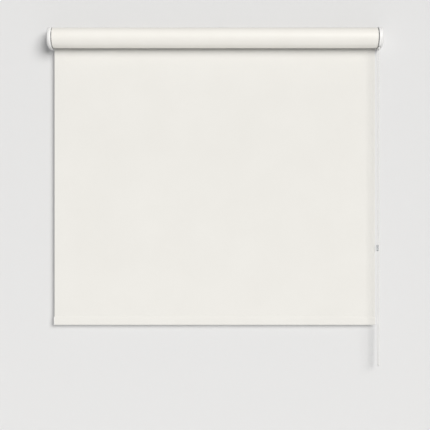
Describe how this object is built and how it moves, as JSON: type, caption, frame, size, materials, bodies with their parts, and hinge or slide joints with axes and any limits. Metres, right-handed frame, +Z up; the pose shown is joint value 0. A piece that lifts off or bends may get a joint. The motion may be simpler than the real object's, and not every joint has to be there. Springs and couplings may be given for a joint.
{
  "type": "roller blind",
  "caption": "Cassette roller blind with a round-fronted headbox, domed ends, plain fabric with a weighted hem and an endless bead chain at one side.",
  "frame": {"origin": "wall face of the middle mounting bracket, at the height of the roller's axis", "axes": "+X to the right along the blind, -Y out from the wall into the room, +Z up"},
  "size_m": [1.1998, 0.0785, 1.2105],
  "materials": {
    "cream_coat": "satin cream powder coat",
    "white_moulding": "semi-gloss white",
    "zinc_steel": "zinc plated",
    "mill_aluminium": "mill finish",
    "spring_steel": "oiled spring steel",
    "grey_moulding": "matt grey",
    "blind_fabric": "fine plain weave, coated back",
    "white_chain": "glossy white beads",
    "clear_moulding": "clear"
  },
  "bodies": {
    "cassette": {"back_rail": "cream_coat", "end_cup_left": "white_moulding", "end_cup_right": "white_moulding", "end_cover_left": "white_moulding", "end_cover_right": "white_moulding", "cup_screw_left_upper": "zinc_steel", "cup_screw_left_lower": "zinc_steel", "cup_screw_right_upper": "zinc_steel", "cup_screw_right_lower": "zinc_steel", "mounting_bracket_left": "zinc_steel", "mounting_bracket_centre": "zinc_steel", "mounting_bracket_right": "zinc_steel", "clutch_spindle": "grey_moulding", "spindle_screw": "zinc_steel", "chain_guard": "white_moulding", "bead_chain": "white_chain", "chain_core": "white_chain"},
    "fascia": {"front_fascia": "cream_coat"},
    "roller": {"roller_tube": "mill_aluminium", "fabric_spline": "white_moulding", "fabric_roll": "blind_fabric", "idle_plug": "grey_moulding", "idle_pin_spring": "spring_steel", "clutch_drum": "grey_moulding", "wrap_spring_1": "spring_steel", "wrap_spring_2": "spring_steel", "chain_wheel": "grey_moulding"},
    "idle_pin": {"idle_pin": "zinc_steel"},
    "bottom_rail": {"fabric_drop": "blind_fabric", "fabric_hem": "blind_fabric", "hem_bar": "mill_aluminium", "hem_plug_left": "white_moulding", "hem_plug_right": "white_moulding"},
    "connector": {"chain_connector": "clear_moulding"}
  },
  "joints": [
    {"name": "blind_travel", "type": "slide", "parent": "cassette", "child": "bottom_rail", "axis": [0, 0, 1], "range_m": [-0.3004, 0.9454], "deforming": ["fabric_drop"]},
    {"name": "roller_spin", "type": "hinge", "parent": "cassette", "child": "roller", "pos_m": [0, -0.041, 0], "axis": [1, 0, 0], "range_deg": [-765, 2407.5]},
    {"name": "connector_travel", "type": "slide", "parent": "cassette", "child": "connector", "axis": [0, 0, 1], "range_m": [-0.2041, 0.6421]},
    {"name": "fascia_swing", "type": "hinge", "parent": "cassette", "child": "fascia", "pos_m": [0, -0.022, 0.0325], "axis": [-1, 0, 0], "range_deg": [0, 35]},
    {"name": "idle_pin_slide", "type": "slide", "parent": "roller", "child": "idle_pin", "axis": [1, 0, 0], "range_m": [0, 0.0065], "stiffness_N_per_m": 350, "springref_m": -0.008, "deforming": ["idle_pin_spring"]}
  ],
  "couplings": [
    {"joint": "roller_spin", "follows": "blind_travel", "rad_per_m": 44.444},
    {"joint": "connector_travel", "follows": "blind_travel", "ratio": 0.67906}
  ]
}
